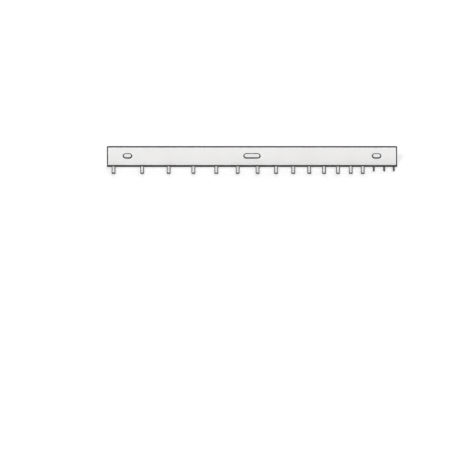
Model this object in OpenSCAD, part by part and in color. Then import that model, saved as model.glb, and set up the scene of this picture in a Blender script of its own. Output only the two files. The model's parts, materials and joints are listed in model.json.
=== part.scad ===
// Wall-mounted tool rack, folded from one piece of sheet steel.
// A tall plate lies against the wall and carries three level fixing slots.
// Its lower edge folds forward into a narrow lip, and the lip runs out into a
// row of flat hooks. Tools with a ring at one end hang on the hooks. The hooks
// stand closer together from left to right, because the tools get smaller.
//
// X runs along the rack, +Z is up and the hooks point towards -Y.
// Y = 0 is the wall. Z = 0 is the centre line of the slots.

/* [Plate] */
// Length of the rack from end to end
plate_length = 500; // [420:5:640]
// Height from the top edge to the underside of the fold
plate_height = 40; // [34:0.5:56]
// Thickness of the sheet
sheet = 2; // [1.2:0.1:2.5]
// Radius of the two upper corners of the plate
corner_r = 2; // [0.5:0.5:8]

/* [Fixing slots] */
// Width of each slot
slot_width = 7; // [5:0.1:9]
// Length of the two end slots
end_slot_length = 12.5; // [10:0.5:18]
// Length of the middle slot
middle_slot_length = 26; // [12:0.5:40]
// Distance from the top edge down to the centre line of the slots
slot_drop = 19; // [10:0.5:24]
// Distance from each end of the plate to the centre of its end slot
end_slot_inset = 35.5; // [14:0.5:60]

/* [Fold] */
// Radius on the inside of the fold
fold_r = 1; // [0.6:0.1:3]
// Upward slope of the lip and the hooks, in degrees
hook_slope = 5; // [0:1:12]
// Flat part of the lip, between the fold and the roots of the hooks
lip_land = 1; // [0.5:0.1:4]

/* [Hooks] */
// Number of long hooks, counted from the left
long_hooks = 14; // [8:1:15]
// Number of short hooks, to the right of the long ones
short_hooks = 3; // [1:1:4]
// Distance from the left end of the plate to the middle of the first hook
first_hook_inset = 11.5; // [8:0.5:40]
// Distance from the right end of the plate to the middle of the last hook
last_hook_inset = 6; // [4:0.5:40]
// Each gap between hooks as a share of the gap before it
pitch_ratio = 0.93; // [0.92:0.005:1]

/* [Long hooks] */
// Width of a long hook
long_width = 6.4; // [5:0.1:8]
// Length of a long hook from its root at the lip to its tip
long_length = 27; // [20:0.5:45]
// Radius of the two corners at the tip of a long hook
long_tip_r = 1.6; // [0.5:0.1:2.4]

/* [Short hooks] */
// Width of a short hook, whose tip is a full half round
short_width = 3.2; // [2.5:0.1:4.5]
// Length of a short hook from its root at the lip to its tip
short_length = 17; // [10:0.5:30]

/* [Hook roots] */
// Radius in the corners where the hooks leave the lip
root_r = 1; // [0.4:0.1:2]

/* [Hidden] */
$fn = 48;

// Extra depth that carries each cut clear of the surface it goes through.
cut = 2;

// Levels of the plate. The fold starts where its flat front face ends.
top_z = slot_drop;
bottom_z = slot_drop - plate_height;
fold_outer_r = fold_r + sheet;
fold_y = -sheet - fold_r;
fold_z = bottom_z + fold_outer_r;

// Distance from the start of the flat lip to the tips of the long hooks.
long_reach = lip_land + long_length;
short_reach = lip_land + short_length;
full_reach = max(long_reach, short_reach);

// The gaps between hooks form a geometric row that fills the plate between
// the two end distances.
hooks = long_hooks + short_hooks;
first_x = -plate_length / 2 + first_hook_inset;
last_x = plate_length / 2 - last_hook_inset;
function share(n) = n <= 0 ? 0 : pow(pitch_ratio, n - 1) + share(n - 1);
hook_x = [
    for (i = [0:hooks - 1])
        first_x + (last_x - first_x) * share(i) / share(hooks - 1)
];

end_slot_x = plate_length / 2 - end_slot_inset;

// A flat outline in Y and Z, drawn out along the whole rack.
module along_rack() {
    translate([-plate_length / 2, 0, 0])
        rotate([90, 0, 90])
            linear_extrude(height = plate_length)
                children();
}

// A flat outline in X and distance from the fold, cut through the sloping
// sheet of the lip and the hooks.
module through_lip() {
    translate([0, fold_y, fold_z])
        rotate([180 - hook_slope, 0, 0])
            translate([0, 0, fold_r / 2])
                linear_extrude(height = sheet + fold_r / 2 + cut)
                    children();
}

// The end view of the sheet: plate, quarter fold and flat strip in front.
module end_view() {
    far = 2 * fold_outer_r;
    translate([-sheet, fold_z])
        square([sheet, top_z - fold_z]);
    translate([fold_y, fold_z])
        rotate(180 - hook_slope) {
            intersection() {
                difference() {
                    circle(r = fold_outer_r);
                    circle(r = fold_r);
                }
                polygon([
                    [0, 0],
                    [0, far],
                    [-far, far],
                    [-far, -far * tan(hook_slope)]
                ]);
            }
            translate([0, fold_r])
                square([full_reach, sheet]);
        }
}

// A hook with two rounded corners at its tip.
module long_hook() {
    straight = long_width / 2 - long_tip_r;
    translate([-long_width / 2, 0])
        square([long_width, long_reach - long_tip_r]);
    translate([-straight, 0])
        square([2 * straight, long_reach]);
    for (side = [-1, 1])
        translate([side * straight, long_reach - long_tip_r])
            circle(r = long_tip_r);
}

// A hook whose tip is a half circle.
module short_hook() {
    translate([-short_width / 2, 0])
        square([short_width, short_reach - short_width / 2]);
    translate([0, short_reach - short_width / 2])
        circle(r = short_width / 2);
}

// The two small fillets beside the root of a hook.
module root_fillets(width) {
    for (side = [-1, 1])
        translate([side * width / 2, lip_land])
            difference() {
                translate([side > 0 ? 0 : -root_r, 0])
                    square([root_r, root_r]);
                translate([side * root_r, root_r])
                    circle(r = root_r);
            }
}

// Outline of every hook with its fillets, each in its place along the lip.
module hook_row() {
    for (i = [0:hooks - 1])
        translate([hook_x[i], 0])
            if (i < long_hooks) {
                long_hook();
                root_fillets(long_width);
            } else {
                short_hook();
                root_fillets(short_width);
            }
}

// Everything in front of the lip that is not a hook.
module between_hooks() {
    difference() {
        translate([-plate_length / 2 - cut, lip_land])
            square([plate_length + 2 * cut, full_reach - lip_land + cut]);
        hook_row();
    }
}

// A level slot with round ends, cut through the plate from front to back.
module slot(x, length) {
    half = (length - slot_width) / 2;
    translate([x, cut, 0])
        rotate([90, 0, 0])
            linear_extrude(height = sheet + 2 * cut)
                union() {
                    translate([-half, -slot_width / 2])
                        square([2 * half, slot_width]);
                    for (side = [-1, 1])
                        translate([side * half, 0])
                            circle(r = slot_width / 2);
                }
}

// What is taken off an upper corner of the plate to round it.
module corner_waste(side) {
    translate([side * (plate_length / 2 - corner_r), cut, top_z - corner_r])
        rotate([90, 0, 0])
            linear_extrude(height = sheet + 2 * cut)
                difference() {
                    translate([side > 0 ? 0 : -corner_r - cut, 0])
                        square([corner_r + cut, corner_r + cut]);
                    circle(r = corner_r);
                }
}

// The whole rack: one folded sheet with its slots and its row of hooks.
module rack() {
    color("whitesmoke")
        difference() {
            along_rack() end_view();
            through_lip() between_hooks();
            slot(0, middle_slot_length);
            for (side = [-1, 1]) {
                slot(side * end_slot_x, end_slot_length);
                corner_waste(side);
            }
        }
}

rack();
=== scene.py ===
"""Wall-mounted tool rack, folded from one piece of sheet steel and powder coated white.

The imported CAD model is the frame. One dressed piece stands for its single solid: a blank
is cut flat, its rims are rounded, and it is folded along its lower edge as on a press.
Everything that is finished is in metres in the frame of the CAD: X runs along the rack,
+Z is up, Y = 0 is the wall and the hooks point towards -Y.
"""

import json
import logging
import math
from collections.abc import Iterable
from dataclasses import dataclass
from enum import Enum

import bmesh
import bpy
from bmesh.types import BMEdge, BMesh, BMVert
from bpy.types import NodeSocket
from mathutils import Matrix, Vector

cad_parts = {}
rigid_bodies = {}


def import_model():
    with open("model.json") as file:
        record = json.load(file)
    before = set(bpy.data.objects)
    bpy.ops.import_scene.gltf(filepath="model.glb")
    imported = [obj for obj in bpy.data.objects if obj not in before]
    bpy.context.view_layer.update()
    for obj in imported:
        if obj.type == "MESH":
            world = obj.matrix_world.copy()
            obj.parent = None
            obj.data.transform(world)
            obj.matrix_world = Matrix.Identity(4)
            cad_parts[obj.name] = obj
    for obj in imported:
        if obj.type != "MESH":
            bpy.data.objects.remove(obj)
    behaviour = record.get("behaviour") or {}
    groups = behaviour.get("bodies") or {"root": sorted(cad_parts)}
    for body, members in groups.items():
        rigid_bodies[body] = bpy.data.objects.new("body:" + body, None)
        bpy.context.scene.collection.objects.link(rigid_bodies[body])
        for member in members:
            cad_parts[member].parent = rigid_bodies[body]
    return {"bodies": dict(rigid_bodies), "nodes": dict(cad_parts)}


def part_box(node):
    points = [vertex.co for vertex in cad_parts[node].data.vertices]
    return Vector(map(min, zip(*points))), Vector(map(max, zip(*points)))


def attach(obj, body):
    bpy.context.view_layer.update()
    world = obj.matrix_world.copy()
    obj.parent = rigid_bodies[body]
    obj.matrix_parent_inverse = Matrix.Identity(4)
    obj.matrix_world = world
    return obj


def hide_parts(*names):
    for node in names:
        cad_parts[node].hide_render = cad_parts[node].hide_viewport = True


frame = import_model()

logging.basicConfig(level=logging.INFO, format="%(message)s")
log = logging.getLogger("rack")

CAD_NODE = "rack"
BODY = "root"

# Numbers that the sheet carries at its vertices: one on a cut edge and zero elsewhere, and
# the height in the flat blank, in millimetres.
EDGE_LAYER = "cut_edge"
HEIGHT_LAYER = "blank_height"

# One millimetre, in metres.
MM = 0.001
# Places closer together than this count as one, in millimetres.
NEAR = 0.0005
# An outline that turns by less goes straight on.
STRAIGHT = math.radians(1.0)
# Faces that lean by less lie in one plane.
FLAT = math.radians(0.1)
# An edge whose faces lean by more is a rim.
SHARP = math.radians(45.0)

# The ranges from zero to one and back.
RISING = (0.0, 1.0)
FALLING = (1.0, 0.0)
# The range that a noise rarely leaves.
NOISE_MIDDLE = (0.3, 0.7)
# The colour sockets of a Mix node, whose names its other sockets share.
MIX_COLOUR_A = 6
MIX_COLOUR_B = 7
MIX_COLOUR_OUT = 2

Pair = tuple[float, float]
Colour = tuple[float, float, float, float]
Feed = NodeSocket | float | Colour


def grey(level: float, warmth: float = 0.0) -> Colour:
    """A neutral colour, in linear light.

    Args:
        level: Its brightness, from 0 to 1.
        warmth: How far blue lies below red, as a share of the brightness.

    Returns:
        Red, green, blue and alpha.
    """
    return (level, level * (1.0 - warmth / 2.0), level * (1.0 - warmth), 1.0)


class Rim(Enum):
    """The two rims that a punched sheet has all round."""

    FRONT = "front"
    BACK = "back"


class Rounded(Enum):
    """What a bevel rounds."""

    CORNERS = "VERTICES"
    RIMS = "EDGES"


class Ray(Enum):
    """Rays that see the backdrop itself, and not the light it gives."""

    CAMERA = "Is Camera Ray"
    GLOSSY = "Is Glossy Ray"
    TRANSMISSION = "Is Transmission Ray"


class Axis(Enum):
    """One of the three numbers of a vector."""

    X = "X"
    Y = "Y"
    Z = "Z"


class Maths(Enum):
    """What a Math node works out."""

    PLUS = "ADD"
    MINUS = "SUBTRACT"
    TIMES = "MULTIPLY"
    LARGER = "MAXIMUM"
    SMALLER = "MINIMUM"
    UNSIGNED = "ABSOLUTE"
    ROOT = "SQRT"


@dataclass(frozen=True)
class Grain:
    """The scale of a noise: the rough width of one grain, and its number of finer layers."""

    width_mm: float
    layers: float


@dataclass(frozen=True)
class NodeSheet:
    """Short ways to lay out the nodes of one material or world."""

    tree: bpy.types.NodeTree

    def add(self, kind: str, **inputs: Feed) -> bpy.types.Node:
        """Add a node and set its inputs.

        Args:
            kind: The node's type name.
            **inputs: Values or output sockets by input name, with _ for a space.

        Returns:
            The new node.
        """
        node = self.tree.nodes.new(kind)
        for name, value in inputs.items():
            self.feed(node.inputs[name.replace("_", " ")], value)
        return node

    def feed(self, socket: NodeSocket, value: Feed) -> None:
        """Link an output to a socket, or write a value on it.

        Args:
            socket: The input socket.
            value: An output socket, a number or a colour.
        """
        if isinstance(value, NodeSocket):
            self.tree.links.new(value, socket)
        else:
            socket.default_value = value

    def noise(self, where: NodeSocket, grain: Grain) -> NodeSocket:
        """A noise whose grains have a given size.

        Args:
            where: The coordinates it reads, in metres.
            grain: The scale of the noise.

        Returns:
            The noise, from 0 to 1.
        """
        scale = 1.0 / (grain.width_mm * MM)
        node = self.add("ShaderNodeTexNoise", Vector=where, Scale=scale, Detail=grain.layers)
        return node.outputs["Fac"]

    def ramp(self, value: NodeSocket, given: Pair, made: Pair) -> NodeSocket:
        """Carry one range of numbers over to another, held at both ends.

        Args:
            value: The number.
            given: The range it comes in.
            made: The range it becomes.

        Returns:
            The new number.
        """
        node = self.add("ShaderNodeMapRange", Value=value)
        node.inputs["From Min"].default_value, node.inputs["From Max"].default_value = given
        node.inputs["To Min"].default_value, node.inputs["To Max"].default_value = made
        return node.outputs["Result"]

    def spread(self, value: NodeSocket, made: Pair) -> NodeSocket:
        """Stretch the middle of a noise over a range."""
        return self.ramp(value, NOISE_MIDDLE, made)

    def maths(self, what: Maths, first: Feed, second: Feed = 0.0) -> NodeSocket:
        """Work out one number from one or two others.

        Args:
            what: What to work out.
            first: A number or an output socket.
            second: A number or an output socket.

        Returns:
            The result.
        """
        node = self.add("ShaderNodeMath")
        node.operation = what.value
        self.feed(node.inputs[0], first)
        self.feed(node.inputs[1], second)
        return node.outputs["Value"]

    def mix(self, share: NodeSocket, first: Feed, second: Feed) -> NodeSocket:
        """Mix two numbers.

        Args:
            share: How much of the second counts.
            first: A number or an output socket.
            second: A number or an output socket.

        Returns:
            The mixed number.
        """
        return self.add("ShaderNodeMix", Factor=share, A=first, B=second).outputs["Result"]

    def blend(self, share: NodeSocket, first: Feed, second: Feed) -> NodeSocket:
        """Mix two colours.

        Args:
            share: How much of the second shows.
            first: A colour or an output socket.
            second: A colour or an output socket.

        Returns:
            The mixed colour.
        """
        node = self.add("ShaderNodeMix", Factor=share)
        node.data_type = "RGBA"
        self.feed(node.inputs[MIX_COLOUR_A], first)
        self.feed(node.inputs[MIX_COLOUR_B], second)
        return node.outputs[MIX_COLOUR_OUT]

    def layer(self, name: str) -> NodeSocket:
        """A number that the piece carries at its vertices.

        Args:
            name: The vertex layer.

        Returns:
            The number.
        """
        node = self.add("ShaderNodeAttribute")
        node.attribute_name = name
        return node.outputs["Fac"]

    def part(self, vector: NodeSocket, axis: Axis) -> NodeSocket:
        """Take one number out of a vector."""
        return self.add("ShaderNodeSeparateXYZ", Vector=vector).outputs[axis.value]

    def seen_directly(self) -> NodeSocket:
        """Tell the rays that see the backdrop itself from those that carry its light.

        Returns:
            One for the rays that see the backdrop, and zero for all others.
        """
        path = self.add("ShaderNodeLightPath")
        seen = path.outputs[Ray.CAMERA.value]
        for ray in (Ray.GLOSSY, Ray.TRANSMISSION):
            seen = self.maths(Maths.LARGER, seen, path.outputs[ray.value])
        return seen


@dataclass(frozen=True)
class Blank:
    """Where the edges and the fold of the flat blank lie, in millimetres.

    Both ends are alike, so a slot is given by its distance from the middle of the rack and
    by half its straight length.
    """

    half_length: float
    top: float
    fold: float
    lip: float
    slot_r: float
    slots: tuple[Pair, ...]


@dataclass(frozen=True)
class PowderCoat:
    """Satin white powder coat on sheet steel.

    The cured powder has a fine orange peel and a dust-fine grain, and clouds a little over
    the length of the rack. It is drawn back from every cut edge and from the fold, and leaves
    dark steel bare there. It is rubbed off where tools hang.
    """

    name: str = "white_powder_coat"

    # The coat: its colour, and how much of the darker white its clouds and specks hold.
    white: Colour = grey(0.89, 0.012)
    cloud: Colour = grey(0.84, 0.016)
    clouds: Grain = Grain(60.0, layers=2.0)
    cloud_share: Pair = (0.0, 0.7)
    specks: Grain = Grain(1.1, layers=1.0)
    speck_share: Pair = (0.0, 0.35)
    roughness: Pair = (0.38, 0.5)
    rough_clouds: Grain = Grain(20.0, layers=3.0)
    specular: float = 0.45

    # The bare steel.
    steel: Colour = grey(0.014, 0.03)
    steel_light: Colour = grey(0.032, 0.02)
    steel_streaks: Grain = Grain(1.1, layers=2.0)
    steel_metallic: float = 0.3
    steel_roughness: float = 0.42

    # How far the coat is drawn back from an edge, over what length the nearness of the edge
    # fades, how uneven that is made, and at which nearness the steel shows.
    border_mm: float = 2.3
    fade_mm: float = 1.8
    lip_fade_mm: float = 0.3
    uneven: Grain = Grain(3.2, layers=3.0)
    uneven_reach: float = 0.08
    bare_from: Pair = (0.1, 0.2)

    # The relief of the surface.
    peel: Grain = Grain(2.2, layers=1.0)
    peel_depth_mm: float = 0.16
    peel_strength: float = 0.8
    dust: Grain = Grain(0.45, layers=2.0)
    dust_depth_mm: float = 0.11
    dust_strength: float = 0.6

    # Where tools rub, measured out from the wall, and how far up a rubbed face is turned.
    rub_from_mm: float = 4.2
    rub_to_mm: float = 6.0
    rub_soft_mm: float = 0.4
    rub_facing_up: Pair = (0.5, 0.8)

    def material(self, blank: Blank) -> bpy.types.Material:
        """Build the finish as a node material.

        Args:
            blank: Where the edges and the fold lie.

        Returns:
            The material.
        """
        made = bpy.data.materials.new(self.name)
        made.use_nodes = True
        sheet = NodeSheet(made.node_tree)
        shader = made.node_tree.nodes["Principled BSDF"]
        where = sheet.add("ShaderNodeTexCoord").outputs["Object"]
        bare = self.bare(sheet, where, blank)
        metallic = sheet.ramp(bare, RISING, (0.0, self.steel_metallic))
        sheet.feed(shader.inputs["Base Color"], self.colour(sheet, where, bare))
        sheet.feed(shader.inputs["Metallic"], metallic)
        sheet.feed(shader.inputs["Roughness"], self.sheen(sheet, where, bare))
        sheet.feed(shader.inputs["Normal"], self.relief(sheet, where))
        shader.inputs["Specular IOR Level"].default_value = self.specular
        return made

    def bare(self, sheet: NodeSheet, where: NodeSocket, blank: Blank) -> NodeSocket:
        """Where no coat covers the steel, with a slightly uneven border.

        Args:
            sheet: Where the nodes go.
            where: The coordinates the pattern reads.
            blank: Where the edges and the fold lie.

        Returns:
            One on bare steel and zero on the coat.
        """
        reach = self.uneven_reach
        edge = sheet.maths(Maths.LARGER, sheet.layer(EDGE_LAYER), self.border(sheet, where, blank))
        uneven = sheet.spread(sheet.noise(where, self.uneven), (-reach, reach))
        marked = sheet.maths(Maths.PLUS, edge, self.rub(sheet, where))
        return sheet.ramp(sheet.maths(Maths.PLUS, marked, uneven), self.bare_from, RISING)

    def border(self, sheet: NodeSheet, where: NodeSocket, blank: Blank) -> NodeSocket:
        """How near an edge of the plate or of a slot is, or how far down the fold.

        Distances are taken in the flat blank, whose height the sheet still carries.

        Args:
            sheet: Where the nodes go.
            where: The coordinates the pattern reads.
            blank: Where the edges and the fold lie.

        Returns:
            One beside an edge and on the fold, falling to zero where the coat is whole.
        """
        height = sheet.layer(HEIGHT_LAYER)
        from_middle = sheet.maths(Maths.UNSIGNED, sheet.part(where, Axis.X))
        along = sheet.maths(Maths.TIMES, from_middle, 1.0 / MM)
        below_top = sheet.maths(Maths.MINUS, blank.top, height)
        from_end = sheet.maths(Maths.MINUS, blank.half_length, along)
        nearest = sheet.maths(Maths.SMALLER, below_top, from_end)
        height_squared = sheet.maths(Maths.TIMES, height, height)
        for middle, straight in blank.slots:
            beside = sheet.maths(Maths.UNSIGNED, sheet.maths(Maths.MINUS, along, middle))
            past = sheet.maths(Maths.LARGER, sheet.maths(Maths.MINUS, beside, straight), 0.0)
            past_squared = sheet.maths(Maths.TIMES, past, past)
            away = sheet.maths(Maths.ROOT, sheet.maths(Maths.PLUS, past_squared, height_squared))
            nearest = sheet.maths(Maths.SMALLER, nearest, sheet.maths(Maths.MINUS, away, blank.slot_r))
        plate = sheet.ramp(nearest, (self.border_mm - self.fade_mm, self.border_mm), FALLING)
        fold = sheet.ramp(height, (blank.fold - self.fade_mm, blank.fold), FALLING)
        behind_hooks = sheet.ramp(height, (blank.lip - self.lip_fade_mm, blank.lip), RISING)
        return sheet.maths(Maths.LARGER, plate, sheet.maths(Maths.TIMES, fold, behind_hooks))

    def rub(self, sheet: NodeSheet, where: NodeSocket) -> NodeSocket:
        """Where hung tools rub the upper side of the hooks, just in front of the lip.

        Args:
            sheet: Where the nodes go.
            where: The coordinates the pattern reads.

        Returns:
            One where the tools sit and zero elsewhere.
        """
        depth = sheet.part(where, Axis.Y)

        def line(reach: float) -> Pair:
            """A soft line across the hooks, a given way in front of the wall."""
            return ((-reach - self.rub_soft_mm) * MM, (-reach + self.rub_soft_mm) * MM)

        near = sheet.ramp(depth, line(self.rub_from_mm), FALLING)
        far = sheet.ramp(depth, line(self.rub_to_mm), RISING)
        facing = sheet.part(sheet.add("ShaderNodeNewGeometry").outputs["Normal"], Axis.Z)
        upper = sheet.ramp(facing, self.rub_facing_up, RISING)
        return sheet.maths(Maths.TIMES, upper, sheet.maths(Maths.TIMES, near, far))

    def colour(self, sheet: NodeSheet, where: NodeSocket, bare: NodeSocket) -> NodeSocket:
        """White with faint clouds and specks, and dark steel along the edges.

        Args:
            sheet: Where the nodes go.
            where: The coordinates the pattern reads.
            bare: One on bare steel.

        Returns:
            The colour.
        """
        clouds = sheet.spread(sheet.noise(where, self.clouds), self.cloud_share)
        specks = sheet.spread(sheet.noise(where, self.specks), self.speck_share)
        streaks = sheet.spread(sheet.noise(where, self.steel_streaks), RISING)
        coat = sheet.blend(specks, sheet.blend(clouds, self.white, self.cloud), self.cloud)
        steel = sheet.blend(streaks, self.steel, self.steel_light)
        return sheet.blend(bare, coat, steel)

    def sheen(self, sheet: NodeSheet, where: NodeSocket, bare: NodeSocket) -> NodeSocket:
        """How rough the surface is from place to place.

        Args:
            sheet: Where the nodes go.
            where: The coordinates the pattern reads.
            bare: One on bare steel.

        Returns:
            The roughness.
        """
        coat = sheet.spread(sheet.noise(where, self.rough_clouds), self.roughness)
        return sheet.mix(bare, coat, self.steel_roughness)

    def relief(self, sheet: NodeSheet, where: NodeSocket) -> NodeSocket:
        """Orange peel with a dust-fine grain on it.

        Args:
            sheet: Where the nodes go.
            where: The coordinates the pattern reads.

        Returns:
            The bumped normal.
        """
        peel = sheet.add(
            "ShaderNodeBump",
            Strength=self.peel_strength,
            Distance=self.peel_depth_mm * MM,
            Height=sheet.noise(where, self.peel),
        )
        dust = sheet.add(
            "ShaderNodeBump",
            Strength=self.dust_strength,
            Distance=self.dust_depth_mm * MM,
            Height=sheet.noise(where, self.dust),
            Normal=peel.outputs["Normal"],
        )
        return dust.outputs["Normal"]


def add_object(name: str, data: bpy.types.ID) -> bpy.types.Object:
    """Add an object to the scene, at the origin.

    Args:
        name: Its name.
        data: Its mesh, lamp or camera.

    Returns:
        The object.
    """
    made = bpy.data.objects.new(name, data)
    bpy.context.scene.collection.objects.link(made)
    return made


def look_away_from(thing: bpy.types.Object, behind: Vector) -> None:
    """Turn a lamp or a camera, which shine and look along their own -Z.

    Args:
        thing: The lamp or camera.
        behind: The direction that its back faces.
    """
    thing.rotation_mode = "QUATERNION"
    thing.rotation_quaternion = behind.to_track_quat("Z", "Y")


def make_mesh(bm: BMesh, name: str, finish: bpy.types.Material) -> bpy.types.Mesh:
    """Turn a finished shape into a mesh with one material.

    Args:
        bm: The shape. It is freed.
        name: Name of the mesh.
        finish: Its material.

    Returns:
        The mesh.
    """
    mesh = bpy.data.meshes.new(name)
    bm.to_mesh(mesh)
    bm.free()
    mesh.materials.append(finish)
    return mesh


def cut_line(bm: BMesh, point: Vector, across: Vector) -> None:
    """Cut a line through the whole blank.

    Args:
        bm: The blank.
        point: A point on the line.
        across: The direction square to the line, in the plane of the blank.
    """
    everything = [*bm.verts, *bm.edges, *bm.faces]
    bmesh.ops.bisect_plane(bm, geom=everything, dist=NEAR, plane_co=point, plane_no=across)


def round_off(
    bm: BMesh, what: Rounded, geom: Iterable[BMVert | BMEdge], radius: float, steps: int
) -> None:
    """Turn square corners or sharp rims into arcs.

    Args:
        bm: The mesh.
        what: Whether corners or rims are rounded.
        geom: The corners' vertices or the rims' edges.
        radius: Radius of the arcs.
        steps: Straight pieces in each arc.
    """
    bmesh.ops.bevel(
        bm,
        geom=list(geom),
        offset=radius,
        offset_type="OFFSET",
        affect=what.value,
        segments=steps,
        profile=0.5,
        material=-1,
    )


@dataclass(frozen=True)
class Hooks:
    """A run of equal flat hooks in the lip's edge, in millimetres."""

    count: int
    width: float
    length: float
    tip_r: float


@dataclass(frozen=True)
class RackSheet:
    """The rack: a tall plate, a narrow lip and a row of flat hooks, all one folded sheet.

    Sizes are in millimetres and are those of the CAD solid. The flat blank stands in the
    plane of the plate, with its front face at y = -sheet, and goes straight down to the
    hooks' tips. Folding then turns everything below the fold line forward.
    """

    name: str = "rack_sheet"

    # The plate and its slots.
    plate_length: float = 500.0
    plate_height: float = 40.0
    sheet: float = 2.0
    corner_r: float = 2.0
    slot_width: float = 7.0
    end_slot_length: float = 12.5
    middle_slot_length: float = 26.0
    slot_drop: float = 19.0
    end_slot_inset: float = 35.5

    # The fold, the lip and the hooks. The slope is in degrees.
    fold_r: float = 1.0
    hook_slope: float = 5.0
    lip_land: float = 1.0
    long_hooks: Hooks = Hooks(count=14, width=6.4, length=27.0, tip_r=1.6)
    short_hooks: Hooks = Hooks(count=3, width=3.2, length=17.0, tip_r=1.6)
    first_hook_inset: float = 11.5
    last_hook_inset: float = 6.0
    pitch_ratio: float = 0.93
    root_r: float = 1.0

    # The rims, and the band beside them that no coat covers.
    front_rim_r: float = 0.5
    back_rim_r: float = 0.35
    bare_band: float = 1.0

    # How fine the curves are, and how much large faces count in the shading.
    arc_steps: int = 8
    slot_arc_steps: int = 14
    rim_steps: int = 4
    fold_steps: int = 16
    large_face_weight: int = 100
    coat: PowderCoat = PowderCoat()

    @property
    def fold_z(self) -> float:
        """Height at which the plate ends and the fold starts."""
        return self.slot_drop - self.plate_height + self.fold_r + self.sheet

    @property
    def fold_angle(self) -> float:
        """How far the sheet is turned in the fold, in radians."""
        return math.radians(90.0 + self.hook_slope)

    @property
    def fold_flat(self) -> float:
        """Length of the fold in the flat blank, along the middle of the sheet."""
        return self.fold_angle * (self.fold_r + self.sheet / 2.0)

    @property
    def lip_z(self) -> float:
        """Height of the lip's front edge in the flat blank."""
        return self.fold_z - self.fold_flat - self.lip_land

    def hook_places(self) -> list[float]:
        """Where the hooks stand along the rack: each gap is a little shorter than the last.

        Returns:
            The middle of each hook, from left to right.
        """
        gaps = self.long_hooks.count + self.short_hooks.count - 1
        first = -self.plate_length / 2.0 + self.first_hook_inset
        last = self.plate_length / 2.0 - self.last_hook_inset
        parts = [sum(self.pitch_ratio**gap for gap in range(hook)) for hook in range(gaps + 1)]
        return [first + (last - first) * part / parts[-1] for part in parts]

    def hook_row(self) -> list[tuple[float, Hooks]]:
        """Each hook's place along the rack with the kind it is."""
        kinds = [self.long_hooks] * self.long_hooks.count + [self.short_hooks] * self.short_hooks.count
        return list(zip(self.hook_places(), kinds))

    def slot_row(self) -> list[Pair]:
        """Where the fixing slots stand along the rack, and how long they are.

        Returns:
            The middle and the length of each slot, from left to right.
        """
        end = self.plate_length / 2.0 - self.end_slot_inset
        middle = (0.0, self.middle_slot_length)
        return [(-end, self.end_slot_length), middle, (end, self.end_slot_length)]

    def blank(self) -> Blank:
        """Where the edges and the fold of the flat blank lie, for the finish to follow.

        Returns:
            The places.
        """
        slots = {(abs(x), (length - self.slot_width) / 2.0) for x, length in self.slot_row()}
        return Blank(
            half_length=self.plate_length / 2.0,
            top=self.slot_drop,
            fold=self.fold_z,
            lip=self.lip_z,
            slot_r=self.slot_width / 2.0,
            slots=tuple(sorted(slots)),
        )

    def build(self) -> bpy.types.Object:
        """Cut, round, fold and coat the sheet.

        Returns:
            The finished piece, at the origin.
        """
        bm = bmesh.new()
        self.cut_outline(bm)
        self.cut_slots(bm)
        self.fill_blank(bm)
        self.thicken(bm)
        self.soften_rims(bm)
        self.mark_bare_edges(bm)
        self.mark_height(bm)
        self.fold(bm)
        bmesh.ops.scale(bm, vec=(MM, MM, MM), verts=bm.verts)
        bmesh.ops.recalc_face_normals(bm, faces=bm.faces)
        return self.dress(bm)

    def rectangle(self, bm: BMesh, low: Pair, high: Pair) -> list[BMVert]:
        """Lay an upright rectangle in the front plane of the blank.

        Args:
            bm: The mesh it goes into.
            low: Its lowest x and z.
            high: Its highest x and z.

        Returns:
            Its four corners.
        """
        middle = Vector(((low[0] + high[0]) / 2.0, -self.sheet, (low[1] + high[1]) / 2.0))
        size = Vector((high[0] - low[0], high[1] - low[1], 1.0))
        half_side = 0.5
        upright = Matrix.Rotation(math.radians(90.0), 4, "X")
        place = Matrix.Translation(middle) @ upright @ Matrix.Diagonal(size).to_4x4()
        made = bmesh.ops.create_grid(bm, x_segments=1, y_segments=1, size=half_side, matrix=place)
        return made["verts"]

    def cut_outline(self, bm: BMesh) -> None:
        """Cut the plate with its lip, and draw the hooks out of the lip's edge.

        Args:
            bm: An empty mesh, which gets one face with the whole outline.
        """
        half = self.plate_length / 2.0
        self.rectangle(bm, (-half, self.lip_z), (half, self.slot_drop))
        for x, kind in self.hook_row():
            for side in (x - kind.width / 2.0, x + kind.width / 2.0):
                cut_line(bm, point=Vector((side, 0.0, 0.0)), across=Vector((1.0, 0.0, 0.0)))
        for x, kind in self.hook_row():
            grown = bmesh.ops.extrude_edge_only(bm, edges=[self.lip_edge(bm, x)])["geom"]
            tip = [thing for thing in grown if isinstance(thing, BMVert)]
            bmesh.ops.translate(bm, verts=tip, vec=(0, 0, -kind.length))
        bmesh.ops.dissolve_faces(bm, faces=bm.faces[:])
        straight = [vert for vert in bm.verts if vert.calc_edge_angle(0.0) < STRAIGHT]
        bmesh.ops.dissolve_verts(bm, verts=straight)
        self.round_outline(bm)

    def lip_edge(self, bm: BMesh, x: float) -> BMEdge:
        """Find the stretch of the lip's edge that a hook grows from.

        Args:
            bm: The mesh.
            x: The hook's place.

        Returns:
            The edge.
        """
        for edge in bm.edges:
            start, end = (vert.co for vert in edge.verts)
            level = abs(start.z - self.lip_z) < NEAR and abs(end.z - self.lip_z) < NEAR
            if level and min(start.x, end.x) < x < max(start.x, end.x):
                return edge
        raise ValueError(f"the lip has no edge at x = {x:.1f} mm")

    def round_outline(self, bm: BMesh) -> None:
        """Round the plate's top corners, the hooks' tips and their roots.

        Args:
            bm: The mesh with the square outline.
        """
        half = self.plate_length / 2.0

        def at(z: float) -> list[BMVert]:
            """Corners of the outline at one height."""
            return [vert for vert in bm.verts if abs(vert.co.z - z) < NEAR]

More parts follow.
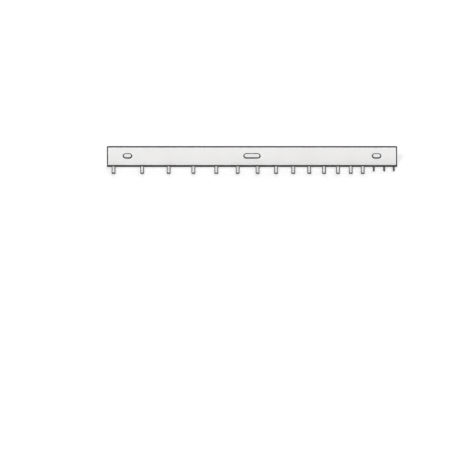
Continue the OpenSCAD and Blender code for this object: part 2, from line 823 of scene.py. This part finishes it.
        round_off(bm, Rounded.CORNERS, at(self.slot_drop), self.corner_r, self.arc_steps)
        roots = [vert for vert in at(self.lip_z) if abs(vert.co.x) < half - NEAR]
        round_off(bm, Rounded.CORNERS, roots, self.root_r, self.arc_steps)
        for kind in (self.long_hooks, self.short_hooks):
            tips = at(self.lip_z - kind.length)
            round_off(bm, Rounded.CORNERS, tips, kind.tip_r, self.arc_steps)
        bmesh.ops.remove_doubles(bm, verts=bm.verts, dist=NEAR)

    def cut_slots(self, bm: BMesh) -> None:
        """Lay the outlines of the three round-ended slots on the plate.

        Args:
            bm: The mesh with the plate's outline.
        """
        radius = self.slot_width / 2.0
        for x, length in self.slot_row():
            corners = self.rectangle(bm, (x - length / 2.0, -radius), (x + length / 2.0, radius))
            round_off(bm, Rounded.CORNERS, corners, radius, self.slot_arc_steps)
        bmesh.ops.remove_doubles(bm, verts=bm.verts, dist=NEAR)

    def fill_blank(self, bm: BMesh) -> None:
        """Fill the space between the outline and the slots with a flat sheet.

        Args:
            bm: The mesh with all outlines.
        """
        bmesh.ops.delete(bm, geom=bm.faces[:], context="FACES_ONLY")
        bmesh.ops.triangle_fill(bm, use_beauty=True, edges=bm.edges, normal=(0, -1, 0))
        inner = [edge for edge in bm.edges if not edge.is_boundary]
        bmesh.ops.dissolve_limit(bm, angle_limit=FLAT, verts=[], edges=inner)

    def thicken(self, bm: BMesh) -> None:
        """Give the blank the thickness of the sheet, from its front face back to y = 0.

        Args:
            bm: The flat blank.
        """
        grown = bmesh.ops.extrude_face_region(bm, geom=bm.faces[:], use_keep_orig=True)["geom"]
        back = [thing for thing in grown if isinstance(thing, BMVert)]
        bmesh.ops.translate(bm, verts=back, vec=(0, self.sheet, 0))
        bmesh.ops.recalc_face_normals(bm, faces=bm.faces)

    def rim_edges(self, bm: BMesh, rim: Rim) -> list[BMEdge]:
        """The sharp edges all round one face of the blank and round its slots.

        Args:
            bm: The thick blank.
            rim: Which face.

        Returns:
            The edges.
        """
        y = -self.sheet if rim is Rim.FRONT else 0.0
        level = [edge for edge in bm.edges if all(abs(vert.co.y - y) < NEAR for vert in edge.verts)]
        return [edge for edge in level if edge.calc_face_angle(0.0) > SHARP]

    def soften_rims(self, bm: BMesh) -> None:
        """Round both rims: the punch rolls the front one more than the back one.

        Args:
            bm: The thick blank.
        """
        for rim, radius in ((Rim.FRONT, self.front_rim_r), (Rim.BACK, self.back_rim_r)):
            round_off(bm, Rounded.RIMS, self.rim_edges(bm, rim), radius, self.rim_steps)

    def mark_bare_edges(self, bm: BMesh) -> None:
        """Mark the cut edges between the two flat faces, which no coat covers.

        The mark runs out over a narrow band of the faces. On a short hook the bare borders of
        both sides meet, so all of it is marked.

        Args:
            bm: The blank with its rims.
        """
        mark = bm.verts.layers.float.new(EDGE_LAYER)

        def on_face(vert: BMVert) -> bool:
            """True on the front or back face of the blank."""
            return min(abs(vert.co.y), abs(vert.co.y + self.sheet)) < NEAR

        for vert in bm.verts:
            vert[mark] = 1.0
        faces = [face for face in bm.faces if all(on_face(vert) for vert in face.verts)]
        bmesh.ops.inset_region(
            bm, faces=faces, use_boundary=True, use_even_offset=True, thickness=self.bare_band
        )
        short_from = self.hook_places()[self.long_hooks.count] - self.short_hooks.width
        for vert in {vert for face in faces for vert in face.verts}:
            if vert.co.z > self.lip_z or vert.co.x < short_from:
                vert[mark] = 0.0

    def mark_height(self, bm: BMesh) -> None:
        """Note how high each vertex lies in the flat blank, because folding moves it.

        Args:
            bm: The blank, still flat.
        """
        height = bm.verts.layers.float.new(HEIGHT_LAYER)
        for vert in bm.verts:
            vert[height] = vert.co.z

    def fold(self, bm: BMesh) -> None:
        """Fold everything below the fold line forward, round the fold's own axis.

        The fold's stretch of the blank is cut into level strips. Each cut line is brought
        up to the fold line and turned by its share of the angle, and what lies below the
        fold is turned by all of it.

        Args:
            bm: The blank with its rims.
        """
        strip = self.fold_flat / self.fold_steps
        for step in range(self.fold_steps + 1):
            level = Vector((0.0, 0.0, self.fold_z - step * strip))
            cut_line(bm, point=level, across=Vector((0.0, 0.0, 1.0)))
        lines: dict[int, list[BMVert]] = {}
        for vert in bm.verts:
            step = round(min((self.fold_z - vert.co.z) / strip, self.fold_steps))
            if step > 0:
                lines.setdefault(step, []).append(vert)
        axis = (0, -self.sheet - self.fold_r, self.fold_z)
        for step, verts in lines.items():
            turn = Matrix.Rotation(-self.fold_angle * step / self.fold_steps, 3, "X")
            bmesh.ops.translate(bm, verts=verts, vec=(0, 0, step * strip))
            bmesh.ops.rotate(bm, verts=verts, cent=axis, matrix=turn)

    def dress(self, bm: BMesh) -> bpy.types.Object:
        """Turn the mesh into the finished piece, which stands for the CAD solid.

        Args:
            bm: The folded sheet, in metres. It is freed.

        Returns:
            The piece.
        """
        mesh = make_mesh(bm, self.name, self.coat.material(self.blank()))
        mesh.shade_smooth()
        piece = add_object(self.name, mesh)
        shading = piece.modifiers.new("even_shading", "WEIGHTED_NORMAL")
        shading.keep_sharp = True
        shading.weight = self.large_face_weight
        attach(piece, BODY)
        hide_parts(CAD_NODE)
        return piece


@dataclass(frozen=True)
class Lamp:
    """A soft, far lamp. Angles are in degrees, and the azimuth is taken from the front."""

    name: str
    azimuth: float
    elevation: float
    strength: float
    softness: float
    distance: float = 2.0

    def hang(self) -> bpy.types.Object:
        """Add the lamp, shining at the rack.

        Returns:
            The lamp's object.
        """
        data = bpy.data.lights.new(self.name, "SUN")
        data.energy = self.strength
        data.angle = math.radians(self.softness)
        turn = math.radians(self.azimuth)
        lift = math.radians(self.elevation)
        level = math.cos(lift)
        towards = Vector((math.sin(turn) * level, -math.cos(turn) * level, math.sin(lift)))
        lamp = add_object(self.name, data)
        lamp.location = towards * self.distance
        look_away_from(lamp, towards)
        return lamp


@dataclass(frozen=True)
class Studio:
    """A pale floor, a white surround and plain soft light."""

    # The floor: how far below the rack it lies, half its width, and how much it is lifted
    # towards white where it is looked at.
    floor_drop_mm: float = 1.0
    floor_half_m: float = 12.0
    floor_white: Colour = grey(0.8)
    floor_roughness: float = 0.9
    floor_lift: float = 0.34

    # The light of the surround, and the lamps.
    sky: float = 0.3
    lamps: tuple[Lamp, ...] = (
        Lamp("key", azimuth=-18.0, elevation=43.0, strength=1.2, softness=14.0),
        Lamp("front", azimuth=14.0, elevation=16.0, strength=1.0, softness=60.0),
        Lamp("back", azimuth=160.0, elevation=26.0, strength=1.5, softness=90.0),
    )

    def build(self, lowest: float) -> None:
        """Set up the floor, the surround and the lamps.

        Args:
            lowest: Height of the rack's lowest point, in metres.
        """
        self.lay_floor(lowest - self.floor_drop_mm * MM)
        self.fill_surround()
        for lamp in self.lamps:
            lamp.hang()
        view = bpy.context.scene.view_settings
        view.view_transform = "Standard"

    def floor_finish(self) -> bpy.types.Material:
        """Matt white, lifted a little where it is looked at, so that it meets the surround.

        Returns:
            The material.
        """
        made = bpy.data.materials.new("pale_floor")
        made.use_nodes = True
        sheet = NodeSheet(made.node_tree)
        shader = made.node_tree.nodes["Principled BSDF"]
        shader.inputs["Base Color"].default_value = self.floor_white
        shader.inputs["Roughness"].default_value = self.floor_roughness
        shader.inputs["Specular IOR Level"].default_value = 0.0
        shader.inputs["Emission Color"].default_value = grey(1.0)
        lift = sheet.maths(Maths.TIMES, sheet.seen_directly(), self.floor_lift)
        sheet.feed(shader.inputs["Emission Strength"], lift)
        return made

    def lay_floor(self, height: float) -> None:
        """Lay the floor, which keeps the rack's shadow on white.

        Args:
            height: Height of the floor, in metres.
        """
        bm = bmesh.new()
        level = Matrix.Translation((0, 0, height))
        bmesh.ops.create_grid(bm, x_segments=1, y_segments=1, size=self.floor_half_m, matrix=level)
        floor = add_object("floor", make_mesh(bm, "floor", self.floor_finish()))

    def fill_surround(self) -> None:
        """Make the surround white to look at, and a soft even light to the rack."""
        world = bpy.data.worlds.new("surround")
        world.use_nodes = True
        bpy.context.scene.world = world
        sheet = NodeSheet(world.node_tree)
        shader = world.node_tree.nodes["Background"]
        shader.inputs["Color"].default_value = grey(1.0)
        level = sheet.ramp(sheet.seen_directly(), RISING, (self.sky, 1.0))
        sheet.feed(shader.inputs["Strength"], level)


@dataclass(frozen=True)
class DrawingCamera:
    """A camera without perspective, above and in front of the rack.

    Its picture is square. The rack's middle and the line of its top edge are placed in it by
    pixels, counted from the left and from the top.
    """

    image_px: int = 470
    mm_per_px: float = 1.7220
    elevation: float = 31.0
    rack_middle_px: float = 252.0
    top_line_px: float = 145.9
    distance: float = 1.6
    view_depth: float = 50.0

    def build(self, top: float) -> bpy.types.Object:
        """Add the camera and make it the scene's own.

        Args:
            top: Height of the rack's top edge, in metres.

        Returns:
            The camera.
        """
        lift = math.radians(self.elevation)
        up = Vector((0, math.sin(lift), math.cos(lift)))
        back = Vector((0, -math.cos(lift), math.sin(lift)))
        px = self.mm_per_px * MM
        middle = self.image_px / 2.0
        aim = up * (top * math.cos(lift) - (middle - self.top_line_px) * px)
        aim.x = (middle - self.rack_middle_px) * px
        data = bpy.data.cameras.new("camera")
        data.type = "ORTHO"
        data.ortho_scale = self.image_px * px
        data.clip_end = self.view_depth
        camera = add_object("camera", data)
        camera.location = aim + back * self.distance
        look_away_from(camera, back)
        bpy.context.scene.camera = camera
        return camera


def clear_start_up() -> None:
    """Remove what Blender's own start-up file brings, and keep the frame."""
    kept = {*frame["bodies"].values(), *frame["nodes"].values()}
    spare = [thing for thing in bpy.data.objects if thing not in kept]
    for thing in spare:
        bpy.data.objects.remove(thing)


def report(piece: bpy.types.Object) -> None:
    """Log a piece's size and its number of faces.

    Args:
        piece: The piece.
    """
    size = [round(side / MM, 2) for side in piece.dimensions]
    log.info("%s: %s mm, %d faces", piece.name, size, len(piece.data.polygons))


def main() -> None:
    """Build the rack, the studio and the camera."""
    clear_start_up()
    bpy.context.view_layer.update()
    low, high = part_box(CAD_NODE)
    rack = RackSheet().build()
    bpy.context.view_layer.update()
    report(rack)
    Studio().build(low.z)
    DrawingCamera().build(high.z)
    bpy.context.view_layer.update()


if __name__ == "__main__":
    main()
